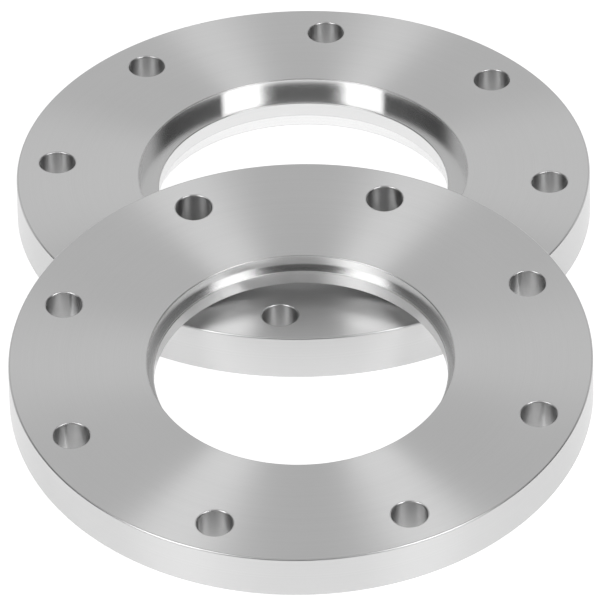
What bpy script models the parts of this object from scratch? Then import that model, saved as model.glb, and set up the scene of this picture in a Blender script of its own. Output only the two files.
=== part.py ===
"""Pair of fixed, bored, eight-bolt vacuum flanges (DN 80, 76.2 mm tube).

Both flanges are turned from the same plate to the same drawing. The lower one lies flat with
its seal side up. The upper one has its weld side up: its near edge stands on the same surface
as the lower flange and its underside leans on the lower flange's rim.
"""

from math import cos, pi, radians, sin, tau

import bmesh
import bpy
from mathutils import Matrix, Vector

# ---- driving dimensions, metres ------------------------------------------------------------
OUTER_RADIUS = 0.0725        # flange outside diameter 145 mm
THICKNESS = 0.012
BORE_RADIUS = 0.0365         # through bore, 73 mm
SOCKET_RADIUS = 0.0381       # tube socket on the weld side, 76.2 mm
SOCKET_DEPTH = 0.004
RECESS_RADIUS = 0.0415       # centring recess on the seal side, 83 mm
RECESS_DEPTH = 0.004
EDGE_CHAMFER = 0.0005        # outer corners
MOUTH_CHAMFER = 0.0003       # corners of socket, recess and bore

BOLT_COUNT = 8
BOLT_CIRCLE_RADIUS = 0.0625  # 125 mm bolt circle
BOLT_HOLE_RADIUS = 0.0045    # 9 mm holes for M8 bolts
HOLE_CHAMFER = 0.0004

# ---- how the pair lies ---------------------------------------------------------------------
LEAN = radians(7.1)          # slope of the upper flange, leaves about 0.3 mm over the lower rim
CENTRE_OFFSET = 0.092        # upper flange's centre in front of the lower one's
LOWER_HOLE_ANGLE = radians(-5.0)
UPPER_HOLE_ANGLE = radians(25.5)

# ---- facets --------------------------------------------------------------------------------
RING_SEGMENTS = 72
HOLE_SEGMENTS = 16
CUTTER_OVERRUN = 0.001       # how far a hole's cutter stands out of both faces

STEEL_COLOUR = (0.60, 0.60, 0.60, 1.0)
STEEL_ROUGHNESS = 0.28


def clear_scene():
    """Remove every object, so the file can be run again."""
    for obj in list(bpy.data.objects):
        bpy.data.objects.remove(obj, do_unlink=True)


def steel(name):
    """Turned stainless steel."""
    material = bpy.data.materials.new(name)
    material.use_nodes = True
    shader = material.node_tree.nodes["Principled BSDF"]
    shader.inputs["Base Color"].default_value = STEEL_COLOUR
    shader.inputs["Metallic"].default_value = 1.0
    shader.inputs["Roughness"].default_value = STEEL_ROUGHNESS
    return material


def ring_profile():
    """Corners (radius, height) of the ring's section, seal side at height 0, weld side up."""
    top = THICKNESS
    shoulder = top - SOCKET_DEPTH
    ceiling = RECESS_DEPTH
    return [
        (OUTER_RADIUS - EDGE_CHAMFER, 0.0),
        (OUTER_RADIUS, EDGE_CHAMFER),
        (OUTER_RADIUS, top - EDGE_CHAMFER),
        (OUTER_RADIUS - EDGE_CHAMFER, top),
        (SOCKET_RADIUS + MOUTH_CHAMFER, top),
        (SOCKET_RADIUS, top - MOUTH_CHAMFER),
        (SOCKET_RADIUS, shoulder),
        (BORE_RADIUS + MOUTH_CHAMFER, shoulder),
        (BORE_RADIUS, shoulder - MOUTH_CHAMFER),
        (BORE_RADIUS, ceiling + MOUTH_CHAMFER),
        (BORE_RADIUS + MOUTH_CHAMFER, ceiling),
        (RECESS_RADIUS, ceiling),
        (RECESS_RADIUS, MOUTH_CHAMFER),
        (RECESS_RADIUS + MOUTH_CHAMFER, 0.0),
    ]


def turned_mesh(name, profile, segments):
    """Closed mesh of a closed (radius, height) outline turned once round Z."""
    bm = bmesh.new()
    corners = [bm.verts.new((radius, 0.0, height)) for radius, height in profile]
    edges = [bm.edges.new((corners[i - 1], corners[i])) for i in range(len(corners))]
    bmesh.ops.spin(bm, geom=corners + edges, cent=(0, 0, 0), axis=(0, 0, 1),
                   angle=tau, steps=segments, use_merge=True)
    bmesh.ops.recalc_face_normals(bm, faces=bm.faces)
    mesh = bpy.data.meshes.new(name)
    bm.to_mesh(mesh)
    bm.free()
    return mesh


def add_hole_cutter(bm, centre):
    """Add one bolt-hole cutter to bm: a cylinder that flares over the chamfer at both faces."""
    flare = BOLT_HOLE_RADIUS + HOLE_CHAMFER + CUTTER_OVERRUN
    heights = [
        (flare, -CUTTER_OVERRUN),
        (BOLT_HOLE_RADIUS, HOLE_CHAMFER),
        (BOLT_HOLE_RADIUS, THICKNESS - HOLE_CHAMFER),
        (flare, THICKNESS + CUTTER_OVERRUN),
    ]
    rings = []
    for radius, height in heights:
        turn = [tau * i / HOLE_SEGMENTS for i in range(HOLE_SEGMENTS)]
        rings.append([bm.verts.new(centre + Vector((radius * cos(a), radius * sin(a), height)))
                      for a in turn])
    for low, high in zip(rings, rings[1:]):
        for i in range(HOLE_SEGMENTS):
            bm.faces.new((low[i - 1], low[i], high[i], high[i - 1]))
    bm.faces.new(reversed(rings[0]))
    bm.faces.new(rings[-1])


def hole_cutters(name, first_angle):
    """One guide object that holds the cutters of all bolt holes."""
    bm = bmesh.new()
    for index in range(BOLT_COUNT):
        angle = first_angle + tau * index / BOLT_COUNT
        add_hole_cutter(bm, Vector((BOLT_CIRCLE_RADIUS * cos(angle),
                                    BOLT_CIRCLE_RADIUS * sin(angle), 0.0)))
    mesh = bpy.data.meshes.new(name)
    bm.to_mesh(mesh)
    bm.free()
    cutter = bpy.data.objects.new(name, mesh)
    bpy.context.collection.objects.link(cutter)
    cutter.hide_render = True
    cutter.display_type = "WIRE"
    return cutter


def flange(name, seat, seal_side_up, first_hole_angle):
    """One flange standing on its seat, an empty at the centre of its underside."""
    mesh = turned_mesh(name, ring_profile(), RING_SEGMENTS)
    if seal_side_up:
        mesh.transform(Matrix.Translation((0, 0, THICKNESS)) @ Matrix.Rotation(pi, 4, "X"))
    mesh.shade_smooth()
    mesh.set_sharp_from_angle(angle=radians(30))
    mesh.materials.append(steel(name + "_steel"))

    ring = bpy.data.objects.new(name, mesh)
    bpy.context.collection.objects.link(ring)
    cutter = hole_cutters(name + "_bolt_hole_guide", first_hole_angle)
    for obj in (ring, cutter):
        obj.parent = seat
    drilled = ring.modifiers.new("bolt_holes", "BOOLEAN")
    drilled.operation = "DIFFERENCE"
    drilled.solver = "EXACT"
    drilled.object = cutter
    return ring


def seat(name, location, slope):
    """Empty at the centre of a flange's underside, tipped about X by the slope."""
    empty = bpy.data.objects.new(name, None)
    bpy.context.collection.objects.link(empty)
    empty.location = location
    empty.rotation_euler = (slope, 0.0, 0.0)
    return empty


def main():
    clear_scene()

    # The origin is midway between the pair's nearest and farthest points, on the surface.
    nearest = CENTRE_OFFSET + OUTER_RADIUS * cos(LEAN) + (THICKNESS - EDGE_CHAMFER) * sin(LEAN)
    lower_y = (nearest - OUTER_RADIUS) / 2
    upper_y = lower_y - CENTRE_OFFSET
    upper_z = (OUTER_RADIUS - EDGE_CHAMFER) * sin(LEAN)

    flange("lower_flange", seat("lower_seat", (0.0, lower_y, 0.0), 0.0),
           seal_side_up=True, first_hole_angle=LOWER_HOLE_ANGLE)
    flange("upper_flange", seat("upper_seat", (0.0, upper_y, upper_z), LEAN),
           seal_side_up=False, first_hole_angle=UPPER_HOLE_ANGLE)


main()
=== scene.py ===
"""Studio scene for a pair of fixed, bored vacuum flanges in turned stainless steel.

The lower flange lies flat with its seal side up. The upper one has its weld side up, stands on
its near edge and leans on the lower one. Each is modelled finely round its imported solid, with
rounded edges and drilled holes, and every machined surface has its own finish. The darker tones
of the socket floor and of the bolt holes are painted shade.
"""

import logging
from dataclasses import dataclass, field
from enum import Enum
from math import cos, hypot, pi, radians, sin, tau
from typing import Mapping, Sequence

import bmesh
import bpy
from mathutils import Matrix, Vector


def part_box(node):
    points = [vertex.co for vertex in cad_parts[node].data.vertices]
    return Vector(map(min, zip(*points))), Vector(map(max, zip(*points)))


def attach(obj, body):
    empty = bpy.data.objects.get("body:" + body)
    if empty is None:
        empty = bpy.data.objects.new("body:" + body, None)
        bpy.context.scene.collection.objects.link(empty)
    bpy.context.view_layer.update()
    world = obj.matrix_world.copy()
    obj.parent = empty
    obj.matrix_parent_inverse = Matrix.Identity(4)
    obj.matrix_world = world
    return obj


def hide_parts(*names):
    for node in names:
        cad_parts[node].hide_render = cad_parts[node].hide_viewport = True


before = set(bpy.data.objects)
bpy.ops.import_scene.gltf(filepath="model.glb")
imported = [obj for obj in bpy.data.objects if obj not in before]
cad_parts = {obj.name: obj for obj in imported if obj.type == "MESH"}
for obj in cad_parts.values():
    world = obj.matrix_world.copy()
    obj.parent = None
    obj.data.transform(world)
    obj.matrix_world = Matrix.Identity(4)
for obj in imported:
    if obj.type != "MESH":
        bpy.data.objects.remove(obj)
LOG = logging.getLogger("flange_pair")

MILLIMETRES = 1000.0
WHITE = (1.0, 1.0, 1.0, 1.0)


class SideUp(Enum):
    """Which side of a flange faces up."""

    SEAL = "seal"
    WELD = "weld"


class Surface(Enum):
    """The machined surfaces of a flange; the value is the material's place on the mesh.

    The ledge is the floor of the recess, and the shoulder is the floor of the socket.
    """

    FACE = 0
    RIM = 1
    BORE = 2
    LEDGE = 3
    HOLE = 4
    EDGE = 5
    RECESS = 6
    SOCKET = 7
    SHOULDER = 8


FLAT_SURFACES = (Surface.FACE, Surface.LEDGE, Surface.SHOULDER)


def object_from(name: str, bm: bmesh.types.BMesh) -> bpy.types.Object:
    """Turns a bmesh into a linked object at the origin.

    Args:
        name: the object's name.
        bm: its shape, which is freed.

    Returns:
        The object.
    """
    mesh = bpy.data.meshes.new(name)
    bm.to_mesh(mesh)
    bm.free()
    made = bpy.data.objects.new(name, mesh)
    bpy.context.collection.objects.link(made)
    return made


def grey(level: float) -> tuple[float, float, float]:
    """A neutral tone, from 0 black to 1 white."""
    return (level, level, level)


# ---- shader building -----------------------------------------------------------------------


class Value:
    """A number or point that changes over a surface, with Python's operators for numbers."""

    def __init__(self, graph: "Graph", socket: bpy.types.NodeSocket) -> None:
        """Wraps one output socket of a graph."""
        self.graph = graph
        self.socket = socket

    def _math(self, operation: str, left: "Value | float", right: "Value | float") -> "Value":
        """Adds one Math node.

        Args:
            operation: the Math node's operation.
            left: its first operand, a Value or a number.
            right: its second operand, a Value or a number.

        Returns:
            The result as a Value.
        """
        return self.graph.node("ShaderNodeMath", {"operation": operation}, {0: left, 1: right})

    def __add__(self, other: "Value | float") -> "Value":
        """self + other"""
        return self._math("ADD", self, other)

    def __radd__(self, other: "Value | float") -> "Value":
        """other + self"""
        return self._math("ADD", other, self)

    def __sub__(self, other: "Value | float") -> "Value":
        """self - other"""
        return self._math("SUBTRACT", self, other)

    def __rsub__(self, other: "Value | float") -> "Value":
        """other - self"""
        return self._math("SUBTRACT", other, self)

    def __mul__(self, other: "Value | float") -> "Value":
        """self * other"""
        return self._math("MULTIPLY", self, other)

    def __rmul__(self, other: "Value | float") -> "Value":
        """other * self"""
        return self._math("MULTIPLY", other, self)

    def __pow__(self, other: "Value | float") -> "Value":
        """self ** other"""
        return self._math("POWER", self, other)


class Graph:
    """The node tree of a material or a world, with one way of adding a node."""

    def __init__(self, tree: bpy.types.NodeTree) -> None:
        """Takes an empty or a new node tree."""
        self.tree = tree

    def node(self, kind: str, settings: Mapping[str, object] | None = None,
             sockets: Mapping[object, object] | None = None, output: object = 0) -> Value:
        """Adds a node.

        Args:
            kind: the node's type, such as ShaderNodeMath.
            settings: its properties, such as a Math node's operation, set first.
            sockets: values or links for its inputs, by name or number.
            output: the output that is wanted, by name or number.

        Returns:
            The wanted output as a Value.
        """
        made = self.tree.nodes.new(kind)
        for name, value in (settings or {}).items():
            setattr(made, name, value)
        for name, value in (sockets or {}).items():
            self.feed(made.inputs[name], value)
        return Value(self, made.outputs[output])

    def feed(self, target: bpy.types.NodeSocket, value: object) -> None:
        """Links a Value to a socket, or sets the socket to a constant."""
        if isinstance(value, Value):
            self.tree.links.new(value.socket, target)
        else:
            target.default_value = value


# ---- finishes ------------------------------------------------------------------------------

NOISE_MIDDLE = 0.5             # what a noise swings about, from 0 to 1
GROOVE_SHARE = 0.6             # the fine grooves' share in the pattern of lines
BAND_SHARE = 0.4               # the broad bands' share in it
LINE_CONTRAST = 4.0            # spreads the lines over the whole range of tones
LINE_DETAIL = 2.0
STAIN_DETAIL = 3.0
ACROSS_GROOVES = 0.25          # turns the stretch of highlights square to the grooves


@dataclass(frozen=True)
class Seat:
    """Where a flange stands: the centre of its underside and its slope about X."""

    centre: tuple[float, float, float]
    slope: float

    def matrix(self) -> Matrix:
        """The move from the flange's own frame to the shared frame."""
        return Matrix.Translation(self.centre) @ Matrix.Rotation(self.slope, 4, "X")


@dataclass(frozen=True)
class TurnedFinish:
    """Steel cut by a turning tool: fine grooves that run round the axis.

    Lengths are in metres. A groove shows as a dent, a change of shine and a change of tone.
    Grooves lie side by side across the axis on a flat surface, and along it on a wall.
    """

    name: str
    tone: tuple[float, float, float]
    roughness: float
    anisotropy: float
    groove_pitch: float = 0.00035
    band_pitch: float = 0.0022
    groove_depth: float = 0.0000015
    groove_tone: float = 0.10
    groove_shine: float = 0.06
    stain_size: float = 0.030
    stain_shine: float = 0.05
    across_axis: bool = True

    def material(self, owner: str, seat: Seat) -> bpy.types.Material:
        """Makes the finish for a flange on a seat.

        Args:
            owner: the flange's name, which the material's name starts with.
            seat: the flange's seat, which gives the axis that the grooves run round.

        Returns:
            The material.
        """
        made = bpy.data.materials.new(f"{owner}_{self.name}")
        made.use_nodes = True
        graph = Graph(made.node_tree)
        shader = made.node_tree.nodes["Principled BSDF"]
        place = self._own_place(graph, seat)
        along = self._groove_coordinate(graph, place)
        groove = self._line_noise(graph, along, self.groove_pitch)
        band = self._line_noise(graph, along, self.band_pitch)
        stain = graph.node("ShaderNodeTexNoise", {"noise_dimensions": "3D"},
                           {"Vector": place, "Scale": 1.0 / self.stain_size, "Detail": STAIN_DETAIL})
        lines = groove * GROOVE_SHARE + band * BAND_SHARE - NOISE_MIDDLE

        tone = graph.node("ShaderNodeMix", {"data_type": "RGBA"}, {
            "Factor": lines * self.groove_tone * LINE_CONTRAST + NOISE_MIDDLE,
            "A": (*(c * (1.0 - self.groove_tone) for c in self.tone), 1.0),
            "B": (*(min(1.0, c * (1.0 + self.groove_tone)) for c in self.tone), 1.0),
        }, output="Result")
        mottle = (stain - NOISE_MIDDLE) * self.stain_shine
        shine = lines * self.groove_shine + mottle + self.roughness
        bump = graph.node("ShaderNodeBump", None, {
            "Strength": 1.0, "Distance": self.groove_depth, "Height": groove + band})

        graph.feed(shader.inputs["Base Color"], tone)
        graph.feed(shader.inputs["Roughness"], shine)
        graph.feed(shader.inputs["Normal"], bump)
        shader.inputs["Metallic"].default_value = 1.0
        shader.inputs["Anisotropic"].default_value = self.anisotropy
        shader.inputs["Anisotropic Rotation"].default_value = ACROSS_GROOVES
        return made

    def _own_place(self, graph: Graph, seat: Seat) -> Value:
        """The surface point in the flange's own frame."""
        point = graph.node("ShaderNodeTexCoord", output="Object")
        return graph.node("ShaderNodeMapping", {"vector_type": "TEXTURE"}, {
            "Vector": point, "Location": seat.centre, "Rotation": (seat.slope, 0.0, 0.0)})

    def _groove_coordinate(self, graph: Graph, place: Value) -> Value:
        """What changes across the grooves: the radius on a face, the height on a wall."""
        across, deep, height = (
            graph.node("ShaderNodeSeparateXYZ", None, {"Vector": place}, output=axis)
            for axis in "XYZ")
        if not self.across_axis:
            return height
        return (across * across + deep * deep) ** 0.5

    def _line_noise(self, graph: Graph, along: Value, pitch: float) -> Value:
        """Uneven lines of about one pitch, from 0 to 1."""
        return graph.node("ShaderNodeTexNoise", {"noise_dimensions": "1D"},
                          {"W": along * (1.0 / pitch), "Scale": 1.0, "Detail": LINE_DETAIL})


FINISHES: dict[Surface, TurnedFinish] = {
    Surface.FACE: TurnedFinish("turned_face", grey(0.81), 0.34, 1.0),
    Surface.RIM: TurnedFinish("turned_rim", grey(0.71), 0.32, 0.97, groove_pitch=0.00045,
                              band_pitch=0.0016, across_axis=False),
    Surface.BORE: TurnedFinish("turned_bore", grey(0.73), 0.30, 0.5, groove_pitch=0.0003,
                               band_pitch=0.0012, across_axis=False),
    Surface.LEDGE: TurnedFinish("turned_ledge", grey(0.68), 0.16, 1.0, groove_shine=0.03,
                                stain_shine=0.02),
    # The holes' darker tone is painted shade, the shade inside the bolt holes; their grooves and
    # roughness are the drilled finish.
    Surface.HOLE: TurnedFinish("drilled_hole_painted_shade", grey(0.58), 0.36, 1.0, groove_pitch=0.0004,
                               band_pitch=0.0012, groove_depth=0.00001, across_axis=False),
    Surface.EDGE: TurnedFinish("broken_edge", grey(0.64), 0.30, 0.60),
    Surface.RECESS: TurnedFinish("turned_recess", grey(0.76), 0.15, 1.0, groove_shine=0.03,
                                 stain_shine=0.02, groove_pitch=0.0003, band_pitch=0.0012,
                                 across_axis=False),
    Surface.SOCKET: TurnedFinish("bored_socket", grey(0.82), 0.24, 0.0, groove_pitch=0.0004,
                                 band_pitch=0.0012, across_axis=False),
    # The socket floor's tone, darker than the face's, is painted shade: the shade that the socket wall
    # casts on it.
    Surface.SHOULDER: TurnedFinish("socket_shoulder_painted_shade", grey(0.50), 0.12, 1.0, groove_shine=0.03,
                                   stain_shine=0.02),
}


# ---- one flange ----------------------------------------------------------------------------

SQUARE_CORNER = radians(60)    # an edge that turns by more than this is a corner of the section
SHARP_CORNER = radians(50)     # shading breaks where the surface turns by more than this
LEVEL = 0.999                  # upward part of a normal from which a face lies flat
UPRIGHT = 0.05                 # upward part of a normal up to which a face is a wall
BROAD_FACES_LEAD = 100         # lets the largest faces set the shading normals; 50 is neutral
TOUCHING = 0.000001            # points closer than this are one point


@dataclass
class Flange:
    """One flange: a ring turned to a stepped section and drilled for its bolts."""

    name: str
    node: str
    body: str
    side_up: SideUp
    seat: Seat
    first_hole_angle: float

    outer_radius: float = 0.0725
    thickness: float = 0.012
    bore_radius: float = 0.0365
    socket_radius: float = 0.0381
    socket_depth: float = 0.004
    recess_radius: float = 0.0415
    recess_depth: float = 0.004
    rim_break: float = 0.0005
    mouth_break: float = 0.0003
    bolt_count: int = 8
    bolt_circle_radius: float = 0.0625
    hole_radius: float = 0.0045
    hole_break: float = 0.0004
    ring_steps: int = 288
    hole_steps: int = 64
    break_segments: int = 3
    cutter_overrun: float = 0.001

    def build(self) -> bpy.types.Object:
        """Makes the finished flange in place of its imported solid.

        Returns:
            The flange's object, riding on its body.
        """
        ring = object_from(self.name, self._ring())
        self._drill(ring)
        mesh = ring.data
        for surface in Surface:
            mesh.materials.append(FINISHES[surface].material(self.body, self.seat))
        self._sort_surfaces(mesh)
        if self.side_up is SideUp.SEAL:
            turned_over = Matrix.Translation((0, 0, self.thickness)) @ Matrix.Rotation(pi, 4, "X")
            mesh.transform(turned_over)
        mesh.transform(self.seat.matrix())
        self._even_shading(ring)
        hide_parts(self.node)
        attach(ring, self.body)
        return ring

    def _section(self) -> list[tuple[float, float]]:
        """Corners (radius, height) of the section, seal side down, before the edges are broken."""
        shoulder = self.thickness - self.socket_depth
        return [
            (self.outer_radius, 0.0),
            (self.outer_radius, self.thickness),
            (self.socket_radius, self.thickness),
            (self.socket_radius, shoulder),
            (self.bore_radius, shoulder),
            (self.bore_radius, self.recess_depth),
            (self.recess_radius, self.recess_depth),
            (self.recess_radius, 0.0),
        ]

    def _ring(self) -> bmesh.types.BMesh:
        """The section turned round the axis, with its edges broken."""
        bm = bmesh.new()
        corners = [bm.verts.new((radius, 0.0, height)) for radius, height in self._section()]
        outline = [bm.edges.new((corners[i - 1], corners[i])) for i in range(len(corners))]
        bmesh.ops.spin(bm, geom=corners + outline, cent=(0, 0, 0), axis=(0, 0, 1),
                       angle=tau, steps=self.ring_steps, use_merge=True)
        bmesh.ops.recalc_face_normals(bm, faces=bm.faces)
        for at_rim, width in ((True, self.rim_break), (False, self.mouth_break)):
            edges = [e for e in bm.edges if self._is_corner(e, at_rim)]
            bmesh.ops.bevel(bm, geom=edges, offset=width, offset_type="OFFSET",
                            segments=self.break_segments, profile=0.5, affect="EDGES",
                            material=-1, clamp_overlap=True)
        return bm

    def _is_corner(self, edge: bmesh.types.BMEdge, at_rim: bool) -> bool:
        """Whether an edge is an outward corner of the turned section, at the rim or inside it."""
        if len(edge.link_faces) != 2 or not edge.is_convex:
            return False
        if edge.calc_face_angle(0.0) < SQUARE_CORNER:
            return False
        radius = hypot(edge.verts[0].co.x, edge.verts[0].co.y)
        return (radius > self.outer_radius - self.rim_break) == at_rim

    def _drill(self, ring: bpy.types.Object) -> None:
        """Cuts the bolt holes, with broken mouths, out of the ring."""
        cutters = object_from(self.name + "_drills", self._drills())
        cut = ring.modifiers.new("bolt_holes", "BOOLEAN")
        cut.operation = "DIFFERENCE"
        cut.solver = "EXACT"
        cut.object = cutters
        self._apply_modifiers(ring)
        bpy.data.objects.remove(cutters, do_unlink=True)

    def _drills(self) -> bmesh.types.BMesh:
        """All the drills, each a turned shape that flares out past both faces."""
        bm = bmesh.new()
        outline = self._drill_outline()
        for index in range(self.bolt_count):
            angle = self._turn(self.first_hole_angle) + tau * index / self.bolt_count
            centre = Vector((self.bolt_circle_radius * cos(angle),
                             self.bolt_circle_radius * sin(angle), 0.0))
            points = [bm.verts.new(centre + Vector((radius, 0.0, height)))
                      for radius, height in outline]
            edges = [bm.edges.new(pair) for pair in zip(points, points[1:])]
            bmesh.ops.spin(bm, geom=points + edges, cent=centre, axis=(0, 0, 1),
                           angle=tau, steps=self.hole_steps, use_merge=True)
        bmesh.ops.remove_doubles(bm, verts=bm.verts, dist=TOUCHING)
        bmesh.ops.recalc_face_normals(bm, faces=bm.faces)
        return bm

    def _turn(self, angle: float) -> float:
        """An angle seen from above, in the section's own frame, which a seal-up flange mirrors."""
        return -angle if self.side_up is SideUp.SEAL else angle

    def _drill_outline(self) -> list[tuple[float, float]]:
        """Half outline (radius, height) of a drill, from its foot on the axis to its top."""
        foot = -self.cutter_overrun
        top = self.thickness + self.cutter_overrun
        wide = self.hole_radius + self.hole_break
        quarter = [pi / 2 * i / self.break_segments for i in range(self.break_segments + 1)]
        lower = [(wide - self.hole_break * sin(a), self.hole_break * (1 - cos(a))) for a in quarter]
        upper = [(radius, self.thickness - height) for radius, height in reversed(lower)]
        return [(0.0, foot), (wide, foot), *lower, *upper, (wide, top), (0.0, top)]

    def _sort_surfaces(self, mesh: bpy.types.Mesh) -> None:
        """Gives each face the finish of the surface that it is part of."""
        for face in mesh.polygons:
            surface = self._surface_of(face.center, face.normal)
            face.material_index = surface.value
            face.use_smooth = surface not in FLAT_SURFACES

    def _surface_of(self, centre: Vector, normal: Vector) -> Surface:
        """Names the surface at a point of the ring, in the section's own frame.

        Args:
            centre: a face's centre.
            normal: its normal.

        Returns:
            The surface that the face belongs to.
        """
        radius = hypot(centre.x, centre.y)
        upward = abs(normal.z)
        if upward > LEVEL:
            if min(abs(centre.z), abs(centre.z - self.thickness)) < self.mouth_break / 2:
                return Surface.FACE
            return Surface.SHOULDER if centre.z > self.thickness / 2 else Surface.LEDGE
        hole_reach = self.hole_radius + self.hole_break + self.mouth_break
        if abs(radius - self.bolt_circle_radius) < hole_reach:
            return Surface.HOLE if upward < UPRIGHT else Surface.EDGE
        if upward > UPRIGHT:
            return Surface.EDGE
        if radius > self.bolt_circle_radius:
            return Surface.RIM
        if radius > (self.socket_radius + self.recess_radius) / 2:
            return Surface.RECESS
        return Surface.SOCKET if radius > (self.bore_radius + self.socket_radius) / 2 else Surface.BORE

    def _even_shading(self, ring: bpy.types.Object) -> None:
        """Bends the shading normals so that broad surfaces stay true beside their broken edges."""
        ring.data.set_sharp_from_angle(angle=SHARP_CORNER)
        even = ring.modifiers.new("even_shading", "WEIGHTED_NORMAL")
        even.keep_sharp = True
        even.weight = BROAD_FACES_LEAD
        self._apply_modifiers(ring)

    @staticmethod
    def _apply_modifiers(piece: bpy.types.Object) -> None:
        """Makes a piece's modifiers part of its mesh."""
        depsgraph = bpy.context.evaluated_depsgraph_get()
        made = bpy.data.meshes.new_from_object(piece.evaluated_get(depsgraph))
        piece.modifiers.clear()
        piece.data = made


# ---- the studio ----------------------------------------------------------------------------


@dataclass(frozen=True)
class Softbox:
    """A rectangular soft light that faces the flanges.

    Angles are seen from the flanges: azimuth from the camera's side towards +X, elevation from
    the floor. The glow is the brightness of its front, on the scale where 1 shows as white.
    """

    name: str
    azimuth: float
    elevation: float
    distance: float
    size: tuple[float, float]
    glow: float

    def build(self, target: Vector) -> None:
        """Adds the light, aimed at the target."""
        lamp = bpy.data.lights.new(self.name, "AREA")
        lamp.shape = "RECTANGLE"
        lamp.size, lamp.size_y = self.size
        lamp.energy = self.glow * pi * self.size[0] * self.size[1]
        holder = bpy.data.objects.new(self.name, lamp)
        bpy.context.collection.objects.link(holder)
        away = Vector((cos(self.elevation) * sin(self.azimuth),
                       -cos(self.elevation) * cos(self.azimuth), sin(self.elevation)))
        holder.location = target + away * self.distance
        holder.rotation_euler = (-away).to_track_quat("-Z", "Y").to_euler()


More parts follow.
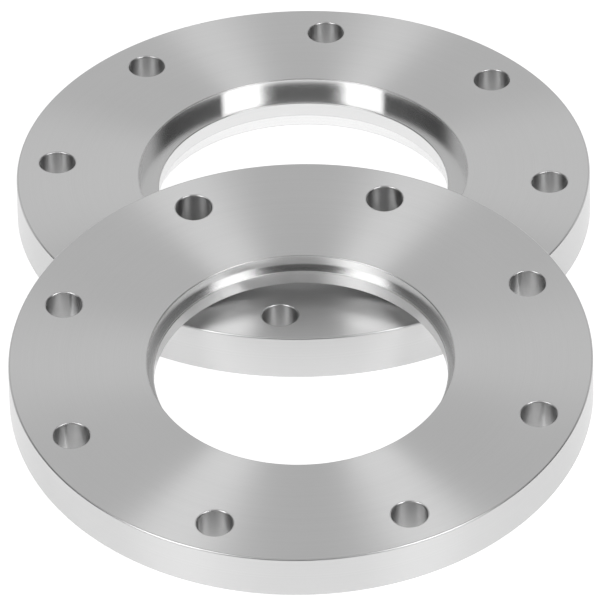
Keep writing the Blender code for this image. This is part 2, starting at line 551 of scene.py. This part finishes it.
@dataclass
class Studio:
    """A white light table in a dim room, two softboxes and the camera.

    Lengths are in metres, the lens in millimetres. A rise is the part of a direction's unit
    vector, away from the camera or up, between which the room turns from dim to pale.
    """

    target: Vector = field(default_factory=lambda: Vector((-0.0005, -0.0094, 0.012)))
    elevation: float = radians(35.4)
    azimuth: float = radians(1.0)
    roll: float = radians(-1.2)
    distance: float = 4.0
    lens: float = 960.0
    view_end: float = 50.0
    floor_half_width: float = 6.0
    floor_tone: float = 0.40
    floor_glow: float = 0.85
    floor_roughness: float = 0.8
    dim: float = 0.045
    pale: float = 0.66
    wall_rise: tuple[float, float] = (0.30, 0.65)
    ceiling_rise: tuple[float, float] = (0.62, 0.76)
    ceiling_share: float = 0.80
    softboxes: tuple[Softbox, ...] = (
        Softbox("left_softbox", radians(-46.5), radians(40), 1.3, (0.58, 1.0), 2.8),
        Softbox("right_softbox", radians(46.5), radians(40), 1.3, (0.58, 1.0), 2.8),
    )

    def build(self) -> None:
        """Makes the floor, the lights and the camera."""
        self._floor()
        self._surroundings()
        for softbox in self.softboxes:
            softbox.build(self.target)
        self._camera()
        scene = bpy.context.scene
        scene.view_settings.view_transform = "Standard"
        LOG.info("studio: %d softboxes, camera %.0f mm", len(self.softboxes), self.lens)

    def _floor(self) -> None:
        """A matt light table that glows nearly white."""
        bm = bmesh.new()
        bmesh.ops.create_grid(bm, x_segments=1, y_segments=1, size=self.floor_half_width)
        floor = object_from("floor", bm)
        paper = bpy.data.materials.new("white_paper")
        paper.use_nodes = True
        shader = paper.node_tree.nodes["Principled BSDF"]
        shader.inputs["Base Color"].default_value = (*grey(self.floor_tone), 1.0)
        shader.inputs["Roughness"].default_value = self.floor_roughness
        shader.inputs["Specular IOR Level"].default_value = 0.0
        shader.inputs["Emission Color"].default_value = WHITE
        shader.inputs["Emission Strength"].default_value = self.floor_glow
        floor.data.materials.append(paper)

    def _surroundings(self) -> None:
        """A dim room with a pale wall behind the flanges and a pale ceiling."""
        world = bpy.data.worlds.new("dim_room")
        bpy.context.scene.world = world
        world.use_nodes = True
        graph = Graph(world.node_tree)
        direction = graph.node("ShaderNodeTexCoord", output="Generated")
        wall = self._rising(graph, direction, "Y", self.wall_rise)
        ceiling = self._rising(graph, direction, "Z", self.ceiling_rise)
        pale = 1.0 - (1.0 - wall) * (1.0 - ceiling * self.ceiling_share)
        background = world.node_tree.nodes["Background"]
        background.inputs["Color"].default_value = WHITE
        graph.feed(background.inputs["Strength"], pale * (self.pale - self.dim) + self.dim)

    @staticmethod
    def _rising(graph: Graph, direction: Value, axis: str, rise: tuple[float, float]) -> Value:
        """How far a direction has turned towards an axis.

        Args:
            graph: the graph to add to.
            direction: the direction's unit vector.
            axis: the axis, X, Y or Z.
            rise: the parts along the axis at which the result is 0 and 1.

        Returns:
            A smooth step from 0 to 1.
        """
        part = graph.node("ShaderNodeSeparateXYZ", None, {"Vector": direction}, output=axis)
        return graph.node("ShaderNodeMapRange", {"interpolation_type": "SMOOTHSTEP"},
                          {"Value": part, "From Min": rise[0], "From Max": rise[1]},
                          output="Result")

    def _camera(self) -> None:
        """A long lens above the near edge, turned a little about its own axis."""
        data = bpy.data.cameras.new("camera")
        data.lens = self.lens
        data.clip_end = self.view_end
        camera = bpy.data.objects.new("camera", data)
        bpy.context.collection.objects.link(camera)
        turn = Matrix.Rotation(self.azimuth, 4, "Z") @ Matrix.Rotation(pi / 2 - self.elevation, 4, "X")
        camera.matrix_world = (Matrix.Translation(self.target) @ turn
                               @ Matrix.Translation((0, 0, self.distance))
                               @ Matrix.Rotation(self.roll, 4, "Z"))
        bpy.context.scene.camera = camera


# ---- the pair ------------------------------------------------------------------------------

UPPER_SLOPE = radians(7.1)     # the upper flange leans on the lower one's rim
CENTRE_OFFSET = 0.092          # the upper flange's centre in front of the lower one's, metres
FOOT_RADIUS = 0.072            # the radius of the upper flange's underside that stands on the floor
LOWER_FIRST_HOLE = radians(-5.0)
UPPER_FIRST_HOLE = radians(25.5)


def seat_of_lower() -> Seat:
    """The lower flange's seat, from its packed box."""
    low, high = (Vector(corner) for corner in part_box("lower_flange"))
    middle = (low + high) / 2
    return Seat((middle.x, middle.y, low.z), 0.0)


def seat_of_upper(lower: Seat) -> Seat:
    """The upper flange's seat: in front of the lower one, tipped up on its near edge.

    Args:
        lower: the lower flange's seat.

    Returns:
        The upper flange's seat.
    """
    across, deep, _ = lower.centre
    return Seat((across, deep - CENTRE_OFFSET, FOOT_RADIUS * sin(UPPER_SLOPE)), UPPER_SLOPE)


def main() -> None:
    """Builds the two flanges and the studio, and reports each piece."""
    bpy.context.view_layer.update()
    lower_seat = seat_of_lower()
    pair = (
        Flange("lower_flange_ring", "lower_flange", "lower_flange", SideUp.SEAL,
               lower_seat, LOWER_FIRST_HOLE),
        Flange("upper_flange_ring", "upper_flange", "upper_flange", SideUp.WELD,
               seat_of_upper(lower_seat), UPPER_FIRST_HOLE),
    )
    for flange in pair:
        ring = flange.build()
        LOG.info("%s: %d faces, bore %.1f mm", ring.name, len(ring.data.polygons),
                 2 * flange.bore_radius * MILLIMETRES)
    Studio().build()


if __name__ == "__main__":
    logging.basicConfig(level=logging.INFO, format="%(message)s")
    main()
